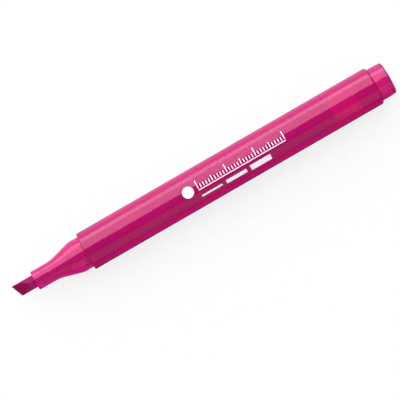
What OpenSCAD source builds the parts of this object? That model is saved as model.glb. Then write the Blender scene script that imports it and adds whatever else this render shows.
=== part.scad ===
// Chisel-tip highlighter without its cap, lying on its side along X with the nib towards -X.
// The origin is on the surface that the barrel rests on, under the middle of the pen.
// Distances called "at" are measured along the pen from the tip of the nib.

/* [Barrel] */
// Outer diameter of the barrel
barrel_d = 12.15; // [11.8:0.05:13]
// Inner diameter of the barrel
bore_d = 9.7; // [9.5:0.05:9.8]
// Length of the barrel, without the end plug
barrel_l = 100.2; // [80:0.2:120]
// Radius of the barrel's rear outer edge
barrel_edge_r = 0.8; // [0.3:0.1:0.8]
// Number of inner ribs that hold the reservoir
rib_count = 4; // [3:1:6]
// Width of each inner rib
rib_w = 0.6; // [0.4:0.1:1]

/* [Nose section] */
// Outer diameter of the tube that holds the nib
tube_d = 6.1; // [5.8:0.1:7]
// Length of the tube before the cone begins
tube_l = 5.3; // [4:0.1:9]
// Steepest angle of the cone
cone_angle = 15.8; // [13:0.2:18]
// Diameter of the collar that the cap's skirt covers
collar_d = 10.15; // [10.05:0.05:10.4]
// Length of the collar between the bead and the barrel
collar_l = 2; // [1.5:0.1:4]
// Height above the collar of the bead that the cap's inner ring passes
bead_h = 0.05; // [0.05:0.05:0.15]
// Length of the bead
bead_l = 0.4; // [0.3:0.1:1.2]
// Length of the spigot inside the barrel
spigot_l = 8; // [5:0.5:12]

/* [Nib] */
// Diameter of the nib
nib_d = 4; // [3:0.1:4.2]
// Length of the nib outside the tube
nib_out = 7; // [5:0.1:9]
// Length of the nib's tail inside the reservoir
nib_tail = 6.7; // [3:0.1:10]
// Slant of the writing edge from square
nib_slant = 21.5; // [0:0.5:30]
// Angle of each facet to the axis
facet_angle = 22.5; // [18:0.5:30]
// Thickness of the writing edge
edge_t = 0.5; // [0.2:0.1:1]

/* [Reservoir] */
// Diameter of the fibre core
core_d = 8; // [7.2:0.1:8]
// Thickness of the film around the core
film_t = 0.1; // [0.05:0.01:0.12]
// Empty length between the reservoir and the end plug
core_gap = 8.6; // [2:0.2:30]

/* [End plug] */
// Diameter of the post at the barrel
post_d = 10.5; // [10.2:0.05:10.8]
// Length of the post behind the barrel
post_l = 4.8; // [3.5:0.1:8]
// Amount that the post's radius drops towards its end
post_draft = 0.15; // [0:0.05:0.3]
// Length of the skirt inside the barrel
skirt_l = 6.6; // [4:0.1:9]
// Wall thickness of the plug
plug_wall = 0.9; // [0.7:0.1:1.2]

/* [Print] */
// Length of the printed scale
scale_l = 30; // [10:10:30]
// Distance between the scale's marks
scale_step = 1; // [1:1:5]
// Width of a printed line
line_w = 0.3; // [0.2:0.05:0.4]
// Distance from the barrel's front edge to the scale
scale_from = 38.6; // [10:0.2:40]
// Radius of the dot before the scale
dot_r = 1.8; // [0.5:0.1:2]

/* [Hidden] */
$fn = 96;

pink = [0.86, 0.13, 0.46, 0.7];
nib_pink = [0.6, 0.02, 0.31];
core_pink = [0.64, 0.04, 0.36];
film_pink = [0.93, 0.45, 0.66, 0.5];

running = 0.05;                        // radial clearance of a piece that slides
grip = 0.02;                           // radial bite of a pressed pair in one body
through = 1;                           // how far a cutting shape runs past what it cuts

// radii
barrel_r = barrel_d / 2;
bore_r = bore_d / 2;
tube_r = tube_d / 2;
collar_r = collar_d / 2;
bead_r = collar_r + bead_h;
nib_r = nib_d / 2;
core_r = core_d / 2;
film_r = core_r + film_t;
post_r = post_d / 2;
seat_r = film_r + running;             // the nose's inside around the reservoir
relief = 0.15;                         // gap between a skirt and the barrel's bore, off the rings
skirt_r = bore_r - relief;             // of the nose's spigot and of the plug's skirt
ring_l = 1;                            // length of a ring that fills that gap
end_margin = 1;                        // from a ring to the end of its skirt

// the cone is a hollow curve, a straight slope and a round shoulder
hollow_r = 12.3;
shoulder_r = 6.3;
cone_rise = bead_r - tube_r;
arc_rise = (hollow_r + shoulder_r) * (1 - cos(cone_angle));
arc_run = (hollow_r + shoulder_r) * sin(cone_angle);
cone_l = arc_run + (cone_rise - arc_rise) / tan(cone_angle);

// places along the pen, from the tip of the nib
tube_at = nib_out;
cone_at = tube_at + tube_l;
bead_at = cone_at + cone_l;
collar_at = bead_at + bead_l;
barrel_at = collar_at + collar_l;
spigot_end = barrel_at + spigot_l;
barrel_end = barrel_at + barrel_l;
overall_l = barrel_end + post_l;
skirt_at = barrel_end - skirt_l;
shoulder_in = 0.8;                     // from the bead's front to the reservoir's shoulder
core_at = bead_at + shoulder_in;
core_end = skirt_at - core_gap;
nib_l = core_at + nib_tail;

// inside the nose
lip_l = 1.8;                           // plain bore at the mouth of the tube
groove_depth = 0.4;                    // air grooves along the nib
groove_w = 0.6;
groove_count = 6;
groove_turn = 10;                      // from the top towards +Y
chamber_in = 0.7;                      // from the start of the cone to the chamber in it
chamber_wall = 1.5;
chamber_at = cone_at + chamber_in;
chamber_r = bead_r - chamber_wall;
tail_room = 0.5;                       // between the nib's tail and the end of its hole
core_hole_l = nib_tail + tail_room;
lead_in = 0.4;                         // chamfers that lead parts in

// print
print_t = 0.03;                        // thickness of the ink
mark_short = 1.2;
mark_middle = 1.8;
mark_long = 2.7;
rule_low = -1.1;                       // the scale's line, around the barrel from its top
bars_low = -3.1;                       // the middle of the bars below the scale
bar_count = 3;
bar_share = 0.28;                      // of the scale's length, for each bar and its gap
bar_pitch = scale_l * bar_share;
bar_gap = 1.4;
dot_gap = 1.4;                         // between the dot and the scale

// Stands a shape, made along Z from the nib's tip, down along X on the surface.
module lay_down() {
  translate([-overall_l / 2, 0, barrel_r])
    rotate([0, 90, 0])
      children();
}

// Points of an arc about [r, at], from angle a to angle b.
function arc(r, at, radius, a, b, steps = 8) = [
  for (i = [0 : steps])
    let (t = a + (b - a) * i / steps)
      [r + radius * cos(t), at + radius * sin(t)]
];

// A round tube between two distances from the nib's tip.
module ring(from, to, outer, inner) {
  translate([0, 0, from])
    difference() {
      cylinder(h = to - from, r = outer);
      translate([0, 0, -through])
        cylinder(h = to - from + 2 * through, r = inner);
    }
}

module barrel_tube() {
  rotate_extrude()
    polygon(concat(
      [[bore_r, barrel_at], [barrel_r, barrel_at]],
      arc(barrel_r - barrel_edge_r, barrel_end - barrel_edge_r, barrel_edge_r, 0, 90),
      [[bore_r, barrel_end]]
    ));
}

module barrel_ribs() {
  rib_from = spigot_end + end_margin;
  rib_to = core_end + end_margin;
  rib_tip_r = film_r - grip;
  overlap = (barrel_r - bore_r) / 2;
  for (i = [0 : rib_count - 1])
    rotate([0, 0, 45 + i * 360 / rib_count])
      translate([rib_tip_r, -rib_w / 2, rib_from])
        cube([bore_r + overlap - rib_tip_r, rib_w, rib_to - rib_from]);
}

module barrel() {
  color(pink)
    lay_down()
      union() {
        barrel_tube();
        barrel_ribs();
      }
}

// The outside of the nose, from the tube's mouth to the collar's rear face.
module nose_outside() {
  mouth_chamfer = 0.25;
  rotate_extrude()
    polygon(concat(
      [[0, tube_at], [tube_r - mouth_chamfer, tube_at], [tube_r, tube_at + mouth_chamfer]],
      arc(tube_r + hollow_r, cone_at, hollow_r, 180, 180 - cone_angle),
      arc(bead_r - shoulder_r, bead_at, shoulder_r, -cone_angle, 0),
      [
        [bead_r, collar_at - (bead_r - collar_r)],
        [collar_r, collar_at],
        [collar_r, barrel_at],
        [0, barrel_at]
      ]
    ));
}

// The hollow of the nose: nib bore, chamber in the cone and the reservoir's seat.
module nose_inside() {
  bore = nib_r + running;
  rotate_extrude()
    polygon([
      [0, tube_at - through],
      [bore, tube_at - through],
      [bore, chamber_at],
      [chamber_r, core_at],
      [seat_r, core_at],
      [seat_r, spigot_end + through],
      [0, spigot_end + through]
    ]);
  for (i = [0 : groove_count - 1])
    rotate([0, 0, i * 360 / groove_count - groove_turn])
      translate([0, -groove_w / 2, tube_at + lip_l])
        cube([bore + groove_depth, groove_w, chamber_at + through - tube_at - lip_l]);
}

module nose_section() {
  color(pink)
    lay_down()
      difference() {
        union() {
          nose_outside();
          ring(barrel_at - through, spigot_end, skirt_r, seat_r - through);
          for (at = [barrel_at + end_margin, spigot_end - ring_l - end_margin])
            ring(at, at + ring_l, bore_r + grip, seat_r - through);
        }
        nose_inside();
      }
}

// A rod with two flat facets that meet the slanted writing edge.
module chisel_nib() {
  tail_chamfer = 0.4;
  slant_shift = nib_r * tan(nib_slant);
  color(nib_pink)
    lay_down()
      intersection() {
        rotate_extrude()
          polygon([
            [0, 0],
            [nib_r, 0],
            [nib_r, nib_l - tail_chamfer],
            [nib_r - tail_chamfer, nib_l],
            [0, nib_l]
          ]);
        translate([0, 0, slant_shift])
          rotate([-nib_slant, 0, 0])
            facet_wedge();
      }
}

// The long prism between the facets: its edge lies along Y and it widens towards +Z.
module facet_wedge() {
  half_edge = edge_t / 2;
  reach = nib_l * 1.2;
  rotate([90, 0, 0])
    translate([0, 0, -reach / 2])
      linear_extrude(height = reach)
        polygon([
          [-half_edge, 0],
          [half_edge, 0],
          [half_edge + reach * tan(facet_angle), reach],
          [-half_edge - reach * tan(facet_angle), reach]
        ]);
}

module ink_reservoir() {
  hole_r = nib_r + running;
  color(core_pink)
    lay_down()
      rotate_extrude()
        polygon([
          [hole_r + lead_in, core_at],
          [core_r, core_at],
          [core_r, core_end],
          [0, core_end],
          [0, core_at + core_hole_l],
          [hole_r, core_at + core_hole_l],
          [hole_r, core_at + lead_in]
        ]);
}

module reservoir_film() {
  color(film_pink)
    lay_down()
      ring(core_at, core_end, film_r, core_r);
}

module plug_outside() {
  edge_r = 0.4;
  land_l = 2.6;
  end_r = post_r - post_draft;
  rotate_extrude()
    polygon(concat(
      [
        [0, skirt_at],
        [skirt_r - lead_in, skirt_at],
        [skirt_r, skirt_at + lead_in],
        [skirt_r, barrel_end],
        [post_r, barrel_end],
        [post_r, barrel_end + land_l]
      ],
      arc(end_r - edge_r, overall_l - edge_r, edge_r, 0, 90),
      [[0, overall_l]]
    ));
}

module end_plug() {
  hollow_d = 2 * (skirt_r - plug_wall);
  end_wall = 0.8;
  color(pink)
    lay_down()
      difference() {
        union() {
          plug_outside();
          for (at = [skirt_at + lead_in, skirt_at + skirt_l / 2])
            ring(at, at + ring_l, bore_r - running, skirt_r - plug_wall / 2);
        }
        translate([0, 0, skirt_at - through])
          cylinder(h = overall_l - end_wall - skirt_at + through, d = hollow_d);
      }
}

// The outline of a thin layer on the barrel, between two distances from the nib's tip.
module layer_outline(from, to) {
  translate([barrel_r, from])
    square([print_t, to - from]);
}

// A printed patch on the barrel: along the pen from one distance to another, and
// around it from one arc length to another, counted from the top towards +Y.
module patch(from, to, low, high) {
  degrees = 180 / (PI * barrel_r);
  rotate([0, 0, 180 - high * degrees])
    rotate_extrude(angle = (high - low) * degrees)
      layer_outline(from, to);
}

// A round printed dot on top of the barrel.
module dot(at) {
  intersection() {
    rotate_extrude()
      layer_outline(at - 2 * dot_r, at + 2 * dot_r);
    translate([0, 0, at])
      rotate([0, -90, 0])
        cylinder(h = barrel_d, r = dot_r);
  }
}

// A scale with a dot before it, and three bars of rising width below it.
module barrel_print() {
  start = barrel_at + scale_from;
  marks_low = rule_low + 2 * line_w;
  color("white")
    lay_down() {
      patch(start, start + scale_l, rule_low, rule_low + line_w);
      for (i = [0 : scale_step : scale_l]) {
        mark = i % 10 == 0 ? mark_long : i % 5 == 0 ? mark_middle : mark_short;
        at = start + i * (scale_l - line_w) / scale_l;
        patch(at, at + line_w, marks_low, marks_low + mark);
      }
      for (i = [0 : bar_count - 1]) {
        at = start + i * bar_pitch;
        half_w = (i + 1) * line_w;
        patch(at, at + bar_pitch - bar_gap, bars_low - half_w, bars_low + half_w);
      }
      dot(start - dot_gap - dot_r);
    }
}

barrel();
nose_section();
chisel_nib();
ink_reservoir();
reservoir_film();
end_plug();
barrel_print();
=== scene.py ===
"""Looks for the chisel-tip highlighter: clear tinted plastic, felt nib, fibre core, film and print."""

import math

import bmesh
import bpy
from mathutils import Matrix, Vector


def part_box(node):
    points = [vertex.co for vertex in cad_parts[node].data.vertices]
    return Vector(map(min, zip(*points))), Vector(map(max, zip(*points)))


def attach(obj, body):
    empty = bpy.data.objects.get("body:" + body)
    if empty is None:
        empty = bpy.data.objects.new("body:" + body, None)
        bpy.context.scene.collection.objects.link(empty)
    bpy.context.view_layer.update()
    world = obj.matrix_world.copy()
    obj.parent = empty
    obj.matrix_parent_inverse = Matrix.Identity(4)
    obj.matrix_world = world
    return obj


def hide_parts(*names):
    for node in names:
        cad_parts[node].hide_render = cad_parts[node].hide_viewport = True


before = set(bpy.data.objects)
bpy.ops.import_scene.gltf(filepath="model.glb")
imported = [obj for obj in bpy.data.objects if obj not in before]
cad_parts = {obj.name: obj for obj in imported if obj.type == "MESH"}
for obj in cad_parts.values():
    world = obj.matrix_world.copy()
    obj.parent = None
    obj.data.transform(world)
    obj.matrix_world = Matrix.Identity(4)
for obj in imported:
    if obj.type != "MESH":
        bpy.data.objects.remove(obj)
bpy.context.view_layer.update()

MM = 0.001
TURN = 2 * math.pi
SAME_R = 1e-6          # radii closer than this are the same surface
SAME_POINT = 1e-7      # points closer than this are the same point


# ---------------------------------------------------------------- places, from the CAD frame

barrel_low, barrel_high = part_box("barrel")
nose_low, nose_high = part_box("nose_section")
nib_low, nib_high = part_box("chisel_nib")
core_low, core_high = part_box("ink_reservoir")
film_low, film_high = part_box("reservoir_film")
plug_low, plug_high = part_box("end_plug")
print_low, print_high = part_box("barrel_print")

AXIS_Z = (barrel_low.z + barrel_high.z) / 2


def radius_of(low, high):
    return (high.y - low.y) / 2


BARREL_R = radius_of(barrel_low, barrel_high)
BEAD_R = radius_of(nose_low, nose_high)
NIB_R = radius_of(nib_low, nib_high)
CORE_R = radius_of(core_low, core_high)
FILM_R = radius_of(film_low, film_high)
POST_R = radius_of(plug_low, plug_high)

# Sizes that no box shows, as in the part's source.
BORE_R = 4.85 * MM
BARREL_EDGE_R = 0.8 * MM
COLLAR_R = 5.075 * MM
TUBE_R = 3.05 * MM
RUNNING = 0.05 * MM
SEAT_R = FILM_R + RUNNING
SKIRT_R = BORE_R - 0.15 * MM
NIB_BORE_R = NIB_R + RUNNING
CHAMBER_R = BEAD_R - 1.5 * MM
LEAD_IN = 0.4 * MM
RING_L = 1 * MM
END_MARGIN = 1 * MM
TAIL_ROOM = 0.5 * MM
PRINT_T = 0.03 * MM

TUBE_L = 5.3 * MM
COLLAR_L = 2 * MM
BEAD_L = 0.4 * MM
SPIGOT_L = 8 * MM

tube_x = nose_low.x
cone_x = tube_x + TUBE_L
collar_end_x = barrel_low.x
collar_x = collar_end_x - COLLAR_L
bead_x = collar_x - BEAD_L
chamber_x = cone_x + 0.7 * MM


# ---------------------------------------------------------------- mesh helpers

def arc(x, r, radius, start, end, steps=6):
    """Points (x, r) of an arc about (x, r), angles in degrees from +X towards +R."""
    angles = [math.radians(start + (end - start) * i / steps) for i in range(steps + 1)]
    return [(x + radius * math.cos(a), r + radius * math.sin(a)) for a in angles]


def rounded(before, corner, after, radius, steps=4):
    """The corner of an outline, rounded by a curve that starts and ends that far from it."""
    before, corner, after = (Vector(p) for p in (before, corner, after))
    start = corner + (before - corner).normalized() * radius
    end = corner + (after - corner).normalized() * radius
    points = []
    for i in range(steps + 1):
        t = i / steps
        points.append(tuple(start * (1 - t) ** 2 + corner * 2 * t * (1 - t) + end * t**2))
    return points


def smooth_step(value):
    t = min(max(value, 0), 1)
    return t * t * (3 - 2 * t)


def around(r, angle):
    """The y and z of a point at that distance and angle from the pen's axis, from the top to +Y."""
    return r * math.sin(angle), AXIS_Z + r * math.cos(angle)


def repeat_offset(angle, first, count):
    """The angle from a point to the nearest of count features, the first of which is at first."""
    pitch = TURN / count
    offset = (angle - first) % pitch
    return min(offset, pitch - offset)


def new_piece(name, bm, sharp_degrees=40):
    mesh = bpy.data.meshes.new(name)
    bmesh.ops.recalc_face_normals(bm, faces=bm.faces)
    bm.to_mesh(mesh)
    bm.free()
    mesh.shade_smooth()
    mesh.set_sharp_from_angle(angle=math.radians(sharp_degrees))
    piece = bpy.data.objects.new(name, mesh)
    bpy.context.scene.collection.objects.link(piece)
    return piece


def revolve(name, profile, segments=128, ripple=None):
    """A closed solid: the closed outline of points (x, r), turned about the pen's axis.
    ripple(x, r, angle) returns how far that point's radius moves."""
    bm = bmesh.new()
    rings = []
    for k in range(segments):
        angle = TURN * k / segments
        ring = []
        for x, r in profile:
            at = r + (ripple(x, r, angle) if ripple else 0)
            ring.append(bm.verts.new((x, *around(at, angle))))
        rings.append(ring)
    count = len(profile)
    for k in range(segments):
        here, there = rings[k], rings[(k + 1) % segments]
        for i in range(count):
            j = (i + 1) % count
            bm.faces.new((here[i], here[j], there[j], there[i]))
    bmesh.ops.remove_doubles(bm, verts=bm.verts, dist=SAME_POINT)
    return new_piece(name, bm)


def hand_over(piece, body, material, node):
    """Gives a piece its body and its finish, and hides the CAD node that it stands for."""
    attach(piece, body)
    piece.data.materials.append(material)
    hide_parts(node)


# ---------------------------------------------------------------- materials

class Nodes:
    """A short way to write a node tree."""

    def __init__(self, name):
        self.material = bpy.data.materials.new(name)
        self.material.use_nodes = True
        self.tree = self.material.node_tree
        self.shader = self.tree.nodes["Principled BSDF"]
        self.output = self.tree.nodes["Material Output"]

    def add(self, kind, inputs=None, **settings):
        node = self.tree.nodes.new(kind)
        for key, value in settings.items():
            setattr(node, key, value)
        for key, value in (inputs or {}).items():
            self.put(node, key, value)
        return node

    def put(self, node, key, value):
        if isinstance(value, bpy.types.NodeSocket):
            self.tree.links.new(value, node.inputs[key])
        else:
            node.inputs[key].default_value = value

    def set(self, **values):
        """Sets the shader's inputs, with _ for each space in their names."""
        for key, value in values.items():
            self.put(self.shader, key.replace("_", " "), value)

    def place(self, scale):
        """Object coordinates, stretched so that features run along the pen."""
        coordinates = self.add("ShaderNodeTexCoord").outputs["Object"]
        mapping = self.add("ShaderNodeMapping", {"Vector": coordinates, "Scale": scale})
        return mapping.outputs["Vector"]

    def noise(self, scale, stretch=(1, 1, 1), detail=2, roughness=0.5):
        place = self.place(stretch)
        inputs = {"Vector": place, "Scale": scale, "Detail": detail, "Roughness": roughness}
        return self.add("ShaderNodeTexNoise", inputs).outputs["Fac"]

    def spread(self, value, low, high, from_low=0.3, from_high=0.7):
        """Maps the range that a noise mostly fills, or another one, to low and high."""
        inputs = {
            "Value": value,
            "From Min": from_low,
            "From Max": from_high,
            "To Min": low,
            "To Max": high,
        }
        return self.add("ShaderNodeMapRange", inputs).outputs["Result"]

    def combine(self, operation, first, second):
        return self.add("ShaderNodeMath", {0: first, 1: second}, operation=operation).outputs[0]

    def blend(self, value, low, high):
        """The colour at value on the way from low to high."""
        node = self.add("ShaderNodeMix", data_type="RGBA")
        # A mix node keeps its colour sockets behind those of its other kinds of data.
        factor, first, second = (node.inputs[i] for i in (0, 6, 7))
        self.tree.links.new(value, factor)
        first.default_value = (*low, 1)
        second.default_value = (*high, 1)
        return node.outputs[2]

    def bump(self, height, distance, strength=1.0):
        inputs = {"Height": height, "Distance": distance, "Strength": strength}
        return self.add("ShaderNodeBump", inputs).outputs["Normal"]


def clear_plastic(name, own, density, stain=None):
    """Translucent plastic: part of the light scatters at its own colour, and the rest is tinted
    by how far it travels inside. A stain is the colour of the ink that clings where the mesh has
    its "ink" attribute."""
    tint = (0.90, 0.0, 0.76)
    m = Nodes(name)
    flow = m.noise(90, (0.25, 1, 1), detail=3)
    colour = (*own, 1)
    if stain:
        ink = m.add("ShaderNodeAttribute", attribute_name="ink").outputs["Fac"]
        colour = m.blend(ink, own, stain)
    m.set(
        Base_Color=colour,
        Transmission_Weight=0.8,
        IOR=1.49,
        Roughness=m.spread(flow, 0.03, 0.06),
        Normal=m.bump(flow, 0.03 * MM, 0.3),
    )
    volume = m.add("ShaderNodeVolumeAbsorption", {"Color": (*tint, 1), "Density": density})
    m.tree.links.new(volume.outputs["Volume"], m.output.inputs["Volume"])
    return m.material


def felt(name, dark, light, streak, gloss, shine, cut=0.0):
    """Fibre bundle: streaks that run along the pen, in colour and in height. Faces that are cut
    across the fibres drink more ink and are darker by the share cut."""
    m = Nodes(name)
    fibres = m.noise(streak, (0.06, 1, 1), detail=4, roughness=0.6)
    patches = m.noise(streak * 0.15, (0.5, 1, 1), detail=2)
    mixed = m.spread(m.combine("ADD", fibres, patches), 0, 1, 0.75, 1.25)
    normal = m.add("ShaderNodeTexCoord").outputs["Normal"]
    along_pen = m.add("ShaderNodeSeparateXYZ", {0: normal}).outputs["X"]
    soaked = m.spread(along_pen, cut, 0, -0.3, -0.1)
    m.set(
        Base_Color=m.blend(m.combine("SUBTRACT", mixed, soaked), dark, light),
        Roughness=m.spread(fibres, gloss, gloss + 0.2),
        Normal=m.bump(fibres, 0.08 * MM, 0.8),
        Specular_IOR_Level=shine,
    )
    return m.material


def clear_film():
    m = Nodes("clear_film")
    haze = m.noise(200, (0.2, 1, 1))
    m.set(
        Base_Color=m.blend(m.spread(haze, 0, 1), (0.90, 0.10, 0.45), (0.95, 0.22, 0.55)),
        Alpha=m.spread(haze, 0.10, 0.22),
        IOR=1.5,
        Roughness=m.spread(haze, 0.08, 0.16),
    )
    return m.material


def white_ink():
    m = Nodes("white_ink")
    grain = m.noise(2600, detail=3)
    m.set(
        Base_Color=m.blend(m.spread(grain, 0, 1), (0.84, 0.66, 0.75), (0.95, 0.80, 0.88)),
        Roughness=m.spread(grain, 0.35, 0.55),
        Normal=m.bump(grain, 0.01 * MM, 0.5),
    )
    return m.material


# ---------------------------------------------------------------- barrel

RIBS = 4
FIRST_RIB = math.radians(45)
RIB_HALF = 0.3 * MM
rib_from_x = barrel_low.x + SPIGOT_L + END_MARGIN
rib_to_x = core_high.x + END_MARGIN


def across_feature(offset, radius, half_width):
    """1 in the middle of a rib or groove, and 0 beside it, with rounded flanks."""
    flat = half_width * 0.6
    flank = half_width * 0.8
    return 1 - smooth_step((offset * radius - flat) / flank)


def rib_height(x, r, angle):
    """The barrel's inner wall rises into a rib at each quarter turn."""
    if r > BORE_R + SAME_R:
        return 0
    lead = 0.6 * MM
    along = min(smooth_step((x - rib_from_x) / lead), smooth_step((rib_to_x - x) / lead))
    across = across_feature(repeat_offset(angle, FIRST_RIB, RIBS), BORE_R, RIB_HALF)
    return -(BORE_R - FILM_R) * along * across


def barrel_shell():
    edge = 0.12 * MM
    ease = 0.7 * MM
    x0, x1 = barrel_low.x, barrel_high.x
    profile = (
        arc(x0 + edge, BARREL_R - edge, edge, 180, 90, 4)
        + arc(x1 - BARREL_EDGE_R, BARREL_R - BARREL_EDGE_R, BARREL_EDGE_R, 90, 0, 8)
        + arc(x1 - edge, BORE_R + edge, edge, 0, -90, 3)
        + [(rib_to_x - ease * i / 4, BORE_R) for i in range(5)]
        + [(rib_from_x + ease * i / 4, BORE_R) for i in range(4, -1, -1)]
        + arc(x0 + edge, BORE_R + edge, edge, -90, -180, 3)
    )
    plastic = clear_plastic("barrel_plastic", (0.93, 0.013, 0.38), density=1500)
    shell = revolve("barrel_shell", profile, segments=256, ripple=rib_height)
    hand_over(shell, "pen", plastic, "barrel")


# ---------------------------------------------------------------- nose section

CONE_ANGLE = 15.8
HOLLOW_R = 12.3 * MM
SHOULDER_R = 6.3 * MM
GROOVES = 6
FIRST_GROOVE = math.radians(10)
GROOVE_DEPTH = 0.4 * MM
GROOVE_HALF = 0.3 * MM
GROOVE_EASE = 0.3 * MM
groove_x = tube_x + 1.8 * MM


def groove_depth(x, r, angle):
    """Air grooves along the nib's bore, behind its plain lip."""
    if r > NIB_BORE_R + SAME_R:
        return 0
    along = smooth_step((x - groove_x) / GROOVE_EASE)
    across = across_feature(repeat_offset(angle, FIRST_GROOVE, GROOVES), NIB_BORE_R, GROOVE_HALF)
    return GROOVE_DEPTH * along * across


def skirt_ring(x, top_r):
    """The outline of a ring with sloped ends that stands on a skirt from x on."""
    slope = 0.2 * MM
    return [(x, SKIRT_R), (x + slope, top_r), (x + RING_L - slope, top_r), (x + RING_L, SKIRT_R)]


def stain_grooves(shell):
    """Writes how deep in a groove each point is, from 0 to 1, as the "ink" attribute."""
    deepest = GROOVE_DEPTH * 1.1
    ink = shell.data.attributes.new("ink", "FLOAT", "POINT")
    for vertex, share in zip(shell.data.vertices, ink.data):
        x, y, z = vertex.co
        depth = math.hypot(y, z - AXIS_Z) - NIB_BORE_R
        in_bore = x < chamber_x and depth < deepest
        share.value = min(depth / GROOVE_DEPTH, 1) if in_bore else 0


def nose_shell():
    mouth = 0.25 * MM
    edge = 0.1 * MM
    spigot_round = 0.2 * MM
    spigot_x = nose_high.x
    core_x = core_low.x
    spigot_corner = rounded(
        (collar_end_x, SKIRT_R), (spigot_x, SKIRT_R), (spigot_x, SEAT_R), spigot_round
    )
    profile = (
        arc(tube_x + mouth, TUBE_R - mouth, mouth, 180, 90, 5)
        + arc(cone_x, TUBE_R + HOLLOW_R, HOLLOW_R, 270, 270 + CONE_ANGLE, 12)
        + arc(bead_x, BEAD_R - SHOULDER_R, SHOULDER_R, 90 + CONE_ANGLE, 90, 10)
        + [(collar_x - (BEAD_R - COLLAR_R), BEAD_R), (collar_x, COLLAR_R)]
        + arc(collar_end_x - edge, COLLAR_R - edge, edge, 90, 0, 3)
        + [(collar_end_x, SKIRT_R)]
        + skirt_ring(collar_end_x + END_MARGIN, BORE_R)
        + skirt_ring(spigot_x - RING_L - END_MARGIN, BORE_R)
        + spigot_corner
        + [(spigot_x, SEAT_R), (core_x, SEAT_R), (core_x, CHAMBER_R), (chamber_x, NIB_BORE_R)]
        + [(groove_x + GROOVE_EASE * i / 3, NIB_BORE_R) for i in range(3, -1, -1)]
        + arc(tube_x + edge, NIB_BORE_R + edge, edge, -90, -180, 3)
    )
    ink_stain = (0.22, 0.0, 0.05)
    plastic = clear_plastic("nose_plastic", (0.95, 0.02, 0.38), density=350, stain=ink_stain)
    shell = revolve("nose_shell", profile, segments=240, ripple=groove_depth)
    stain_grooves(shell)
    hand_over(shell, "pen", plastic, "nose_section")


# ---------------------------------------------------------------- end plug

def plug_shell():
    edge_r = 0.4 * MM
    edge = 0.1 * MM
    draft = 0.15 * MM
    land = 2.6 * MM
    end_wall = 0.8 * MM
    inner_r = SKIRT_R - 0.9 * MM
    inner_edge = 0.3 * MM
    seal_r = BORE_R - RUNNING
    x0, x1 = plug_low.x, plug_high.x
    face_x = barrel_high.x
    profile = (
        [(x0, inner_r), (x0, SKIRT_R - LEAD_IN)]
        + skirt_ring(x0 + LEAD_IN, seal_r)
        + skirt_ring((x0 + face_x) / 2, seal_r)
        + [(face_x, SKIRT_R)]
        + arc(face_x + edge, POST_R - edge, edge, 180, 90, 3)
        + [(face_x + land, POST_R)]
        + arc(x1 - edge_r, POST_R - draft - edge_r, edge_r, 90, 0, 8)
        + [(x1, 0), (x1 - end_wall, 0)]
        + arc(x1 - end_wall - inner_edge, inner_r - inner_edge, inner_edge, 0, 90, 4)
    )
    plastic = clear_plastic("plug_plastic", (0.91, 0.03, 0.40), density=900)
    shell = revolve("plug_shell", profile)
    hand_over(shell, "plug", plastic, "end_plug")


# ---------------------------------------------------------------- ink reservoir and film

def core_ripple(x, r, angle):
    """Fine flutes around the core, of two widths, as pressed fibre has."""
    if r < CORE_R - SAME_R:
        return 0
    narrow = 0.5 + 0.5 * math.sin(angle * 47)
    wide = 0.5 + 0.5 * math.sin(angle * 29 + 1)
    return -0.03 * MM * narrow - 0.02 * MM * wide


def reservoir():
    edge = 0.15 * MM
    x0, x1 = core_low.x, core_high.x
    hole_end = nib_high.x + TAIL_ROOM
    profile = (
        [(x0, NIB_BORE_R + LEAD_IN)]
        + arc(x0 + edge, CORE_R - edge, edge, 180, 90, 3)
        + arc(x1 - edge, CORE_R - edge, edge, 90, 0, 3)
        + [(x1, 0), (hole_end, 0), (hole_end, NIB_BORE_R), (x0 + LEAD_IN, NIB_BORE_R)]
    )
    dark, light = (0.38, 0.004, 0.15), (0.56, 0.012, 0.23)
    fibre = felt("core_fibre", dark, light, streak=1800, gloss=0.6, shine=0.05)
    core = revolve("reservoir_core", profile, segments=384, ripple=core_ripple)
    hand_over(core, "pen", fibre, "ink_reservoir")


def film():
    """The wrap, with the step of its lap seam along the underside."""
    inset = 0.02 * MM
    x0, x1 = film_low.x, film_high.x
    inner = CORE_R + inset
    outer = FILM_R - inset
    profile = [(x0, inner), (x0, outer), (x1, outer), (x1, inner)]
    seam_at = math.radians(150)
    lap_l = 1.2 * MM
    step_l = 0.1 * MM

    def seam(x, r, angle):
        if r < inner + SAME_R:
            return 0
        past = (angle - seam_at) % TURN * FILM_R
        return inset * (1 - smooth_step((past - lap_l) / step_l))

    wrap = revolve("film_wrap", profile, segments=256, ripple=seam)
    hand_over(wrap, "pen", clear_film(), "reservoir_film")


# ---------------------------------------------------------------- nib

def rod(x0, x1, radius, end_radius, segments, steps):
    """A closed rod along the pen's axis in many rings, whose last ring has the end radius."""
    bm = bmesh.new()
    rings = []
    for i in range(steps + 1):
        x = x0 + (x1 - x0) * i / steps
        r = radius if i < steps else end_radius
        rings.append([bm.verts.new((x, *around(r, TURN * k / segments))) for k in range(segments)])
    for here, there in zip(rings, rings[1:]):
        for k in range(segments):
            n = (k + 1) % segments
            bm.faces.new((here[k], here[n], there[n], there[k]))
    bm.faces.new(rings[0])
    bm.faces.new(rings[-1][::-1])
    return bm


def cut_away(bm, point, normal):
    """Removes what lies on the normal's side of a plane, and closes the cut."""
    geometry = bm.verts[:] + bm.edges[:] + bm.faces[:]
    cut = bmesh.ops.bisect_plane(bm, geom=geometry, plane_co=point, plane_no=normal, clear_outer=True)
    rim = [e for e in cut["geom_cut"] if isinstance(e, bmesh.types.BMEdge)]
    bmesh.ops.edgeloop_fill(bm, edges=rim)


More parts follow.
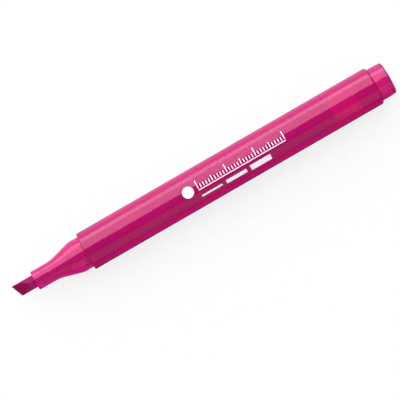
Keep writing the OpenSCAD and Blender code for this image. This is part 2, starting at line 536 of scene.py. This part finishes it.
def round_creases(bm, crease_degrees, radius):
    bm.normal_update()
    limit = math.radians(crease_degrees)
    crease = [e for e in bm.edges if len(e.link_faces) == 2 and e.calc_face_angle() > limit]
    bmesh.ops.bevel(
        bm, geom=crease, offset=radius, segments=4, profile=0.6, affect="EDGES", clamp_overlap=True
    )
    # Where several creases meet, the bevel leaves slivers, which are closed here.
    bmesh.ops.remove_doubles(bm, verts=bm.verts, dist=0.01 * MM)
    bmesh.ops.dissolve_degenerate(bm, edges=bm.edges, dist=0.005 * MM)


def chisel():
    """A felt rod, cut by two facets and the slanted edge, then rounded where the felt is soft."""
    slant = math.radians(21.5)
    facet = math.radians(22.5)
    edge_half = 0.25 * MM
    tail_chamfer = 0.3 * MM
    bm = rod(nib_low.x, nib_high.x, NIB_R, NIB_R - tail_chamfer, segments=96, steps=90)
    edge_point = Vector((nib_low.x + NIB_R * math.tan(slant), 0, AXIS_Z))
    inwards = Vector((math.cos(slant), math.sin(slant), 0))
    cut_away(bm, edge_point, -inwards)
    for side in (1, -1):
        upwards = Vector((0, 0, side))
        normal = upwards * math.cos(facet) - inwards * math.sin(facet)
        cut_away(bm, edge_point + upwards * edge_half, normal)
    round_creases(bm, crease_degrees=15, radius=0.16 * MM)
    dark, light = (0.18, 0.0, 0.042), (0.38, 0.005, 0.145)
    soaked = felt("nib_felt", dark, light, streak=2400, gloss=0.36, shine=0.09, cut=0.75)
    nib = new_piece("felt_nib", bm, sharp_degrees=60)
    hand_over(nib, "nib", soaked, "chisel_nib")


# ---------------------------------------------------------------- print

def layer(bm, columns):
    """A closed raised layer of ink on the barrel. Each column (x, low, high) reaches from low to high
    along the barrel's round, counted from its top towards +Y."""
    row_l = 0.25 * MM
    bite = 0.01 * MM
    tallest = max(high - low for x, low, high in columns)
    rows = math.ceil(tallest / row_l)

    def sheet(lift):
        r = BARREL_R + lift
        grid = []
        for x, low, high in columns:
            angles = [(low + (high - low) * i / rows) / r for i in range(rows + 1)]
            grid.append([bm.verts.new((x, *around(r, a))) for a in angles])
        return grid

    under, over = sheet(-bite), sheet(PRINT_T)
    for c in range(len(columns) - 1):
        for i in range(rows):
            for grid in (under, over):
                bm.faces.new((grid[c][i], grid[c][i + 1], grid[c + 1][i + 1], grid[c + 1][i]))
        for i in (0, rows):
            bm.faces.new((under[c][i], under[c + 1][i], over[c + 1][i], over[c][i]))
    for c in (0, -1):
        for i in range(rows):
            bm.faces.new((under[c][i], under[c][i + 1], over[c][i + 1], over[c][i]))


def patch(bm, x0, x1, low, high):
    layer(bm, [(x0, low, high), (x1, low, high)])


def dot(bm, x, radius, steps=32):
    turns = [math.pi * i / steps for i in range(steps + 1)]
    layer(bm, [(x - radius * math.cos(t), -radius * math.sin(t), radius * math.sin(t)) for t in turns])


def mark_height(i):
    if i % 10 == 0:
        return 2.7 * MM
    return 1.8 * MM if i % 5 == 0 else 1.2 * MM


def print_marks():
    """A scale with a dot before it, and three bars of rising width below it."""
    line = 0.3 * MM
    length = 30 * MM
    marks = 30
    bars = 3
    pitch = length * 0.28
    gap = 1.4 * MM
    dot_r = 1.8 * MM
    rule_low, bars_low = -1.1 * MM, -3.1 * MM
    marks_low = rule_low + 2 * line
    start = print_high.x - length
    bm = bmesh.new()
    patch(bm, start, start + length, rule_low, rule_low + line)
    for i in range(marks + 1):
        x = start + i * (length - line) / marks
        patch(bm, x, x + line, marks_low, marks_low + mark_height(i))
    for i in range(bars):
        half = (i + 1) * line
        patch(bm, start + i * pitch, start + (i + 1) * pitch - gap, bars_low - half, bars_low + half)
    dot(bm, print_low.x + dot_r, dot_r)
    bmesh.ops.remove_doubles(bm, verts=bm.verts, dist=SAME_POINT)
    marks_piece = new_piece("print_marks", bm)
    hand_over(marks_piece, "pen", white_ink(), "barrel_print")


barrel_shell()
nose_shell()
plug_shell()
reservoir()
film()
chisel()
print_marks()


# ---------------------------------------------------------------- floor, light and camera

def build_floor():
    """Pale paper that glows a little, as a light table does."""
    half = 2.5
    corners = ((-half, -half), (half, -half), (half, half), (-half, half))
    bm = bmesh.new()
    bm.faces.new([bm.verts.new((x, y, 0)) for x, y in corners])
    floor = new_piece("studio_floor", bm)
    m = Nodes("floor_paper")
    grain = m.noise(300)
    m.set(
        Base_Color=m.blend(m.spread(grain, 0, 1), (0.15, 0.15, 0.15), (0.165, 0.165, 0.165)),
        Roughness=0.9,
        Emission_Color=(1, 1, 1, 1),
        Emission_Strength=0.78,
        Specular_IOR_Level=0.0,
    )
    floor.data.materials.append(m.material)
    floor.visible_glossy = False


def softbox(name, low_degrees, high_degrees, side, radiance):
    """A long softbox beside the pen that fills those angles above it, counted from straight up."""
    distance = 0.6
    length = 1.6
    middle = math.radians((low_degrees + high_degrees) / 2)
    half_angle = math.radians((high_degrees - low_degrees) / 2)
    height = 2 * distance * math.tan(half_angle)
    light = bpy.data.lights.new(name, "AREA")
    light.shape = "RECTANGLE"
    light.size = length
    light.size_y = height
    light.energy = radiance * math.pi * length * height
    box = bpy.data.objects.new(name, light)
    x_axis = Vector((1, 0, 0))
    z_axis = Vector((0, side * math.sin(middle), math.cos(middle)))
    rotation = Matrix((x_axis, z_axis.cross(x_axis), z_axis)).transposed().to_4x4()
    place = Vector((0, 0, AXIS_Z)) + z_axis * distance
    box.matrix_world = Matrix.Translation(place) @ rotation
    box.visible_camera = False
    bpy.context.scene.collection.objects.link(box)


def build_world(ambient, towards_key, away, ceiling):
    """A white room. Reflections see its lower half brighter on the key's side and dark on the other
    side, and they see its ceiling dim."""
    side_starts, side_full = 0.1, 0.6
    world = bpy.data.worlds.new("studio")
    world.use_nodes = True
    tree = world.node_tree
    background = tree.nodes["Background"]

    def node(kind, **settings):
        made = tree.nodes.new(kind)
        for key, value in settings.items():
            setattr(made, key, value)
        return made

    direction = node("ShaderNodeTexCoord").outputs["Generated"]
    parts = node("ShaderNodeSeparateXYZ")
    tree.links.new(direction, parts.inputs[0])
    side = node("ShaderNodeMapRange")
    tree.links.new(parts.outputs["Y"], side.inputs["Value"])
    side.inputs["From Min"].default_value = side_starts
    side.inputs["From Max"].default_value = side_full
    side.inputs["To Min"].default_value = away
    side.inputs["To Max"].default_value = towards_key
    below = node("ShaderNodeMath", operation="LESS_THAN")
    tree.links.new(parts.outputs["Z"], below.inputs[0])
    below.inputs[1].default_value = 0.0
    reflected = node("ShaderNodeMath", operation="MULTIPLY_ADD")
    tree.links.new(side.outputs["Result"], reflected.inputs[0])
    tree.links.new(below.outputs[0], reflected.inputs[1])
    reflected.inputs[2].default_value = ceiling
    ray = node("ShaderNodeLightPath")
    mirrored = node("ShaderNodeMath", operation="MULTIPLY")
    tree.links.new(ray.outputs["Is Glossy Ray"], mirrored.inputs[0])
    tree.links.new(ray.outputs["Is Reflection Ray"], mirrored.inputs[1])
    strength = node("ShaderNodeMix", data_type="FLOAT")
    tree.links.new(mirrored.outputs[0], strength.inputs[0])
    strength.inputs[2].default_value = ambient
    tree.links.new(reflected.outputs[0], strength.inputs[3])
    tree.links.new(strength.outputs[0], background.inputs["Strength"])
    background.inputs["Color"].default_value = (1, 1, 1, 1)
    bpy.context.scene.world = world


def build_camera():
    """Looks straight down on the pen, a touch from the nib's side, and rolled so that the pen
    rises to the right."""
    distance = 0.8
    view_width = 0.1203
    lean = math.radians(-0.7)
    roll = math.radians(29.94)
    aim_from_tip, aim_aside = 62.1 * MM, -3.67 * MM
    aim = Vector((nib_low.x + aim_from_tip, aim_aside, AXIS_Z))
    back = Vector((math.sin(lean), 0, math.cos(lean)))
    along = Vector((math.cos(lean), 0, -math.sin(lean)))
    up_pen = back.cross(along)
    right = along * math.cos(roll) - up_pen * math.sin(roll)
    up = back.cross(right)
    camera_data = bpy.data.cameras.new("camera")
    camera_data.sensor_width = 36
    camera_data.lens = camera_data.sensor_width * distance / view_width
    camera = bpy.data.objects.new("camera", camera_data)
    rotation = Matrix((right, up, back)).transposed().to_4x4()
    camera.matrix_world = Matrix.Translation(aim + back * distance) @ rotation
    bpy.context.scene.collection.objects.link(camera)
    bpy.context.scene.camera = camera


build_floor()
softbox("key_softbox", 15, 89, side=1, radiance=2.2)
softbox("side_strip", 62, 80, side=1, radiance=1.7)
softbox("fill_softbox", 33, 84, side=-1, radiance=0.35)
build_world(ambient=0.72, towards_key=0.7, away=0.0, ceiling=0.05)
build_camera()
bpy.context.scene.view_settings.view_transform = "Standard"
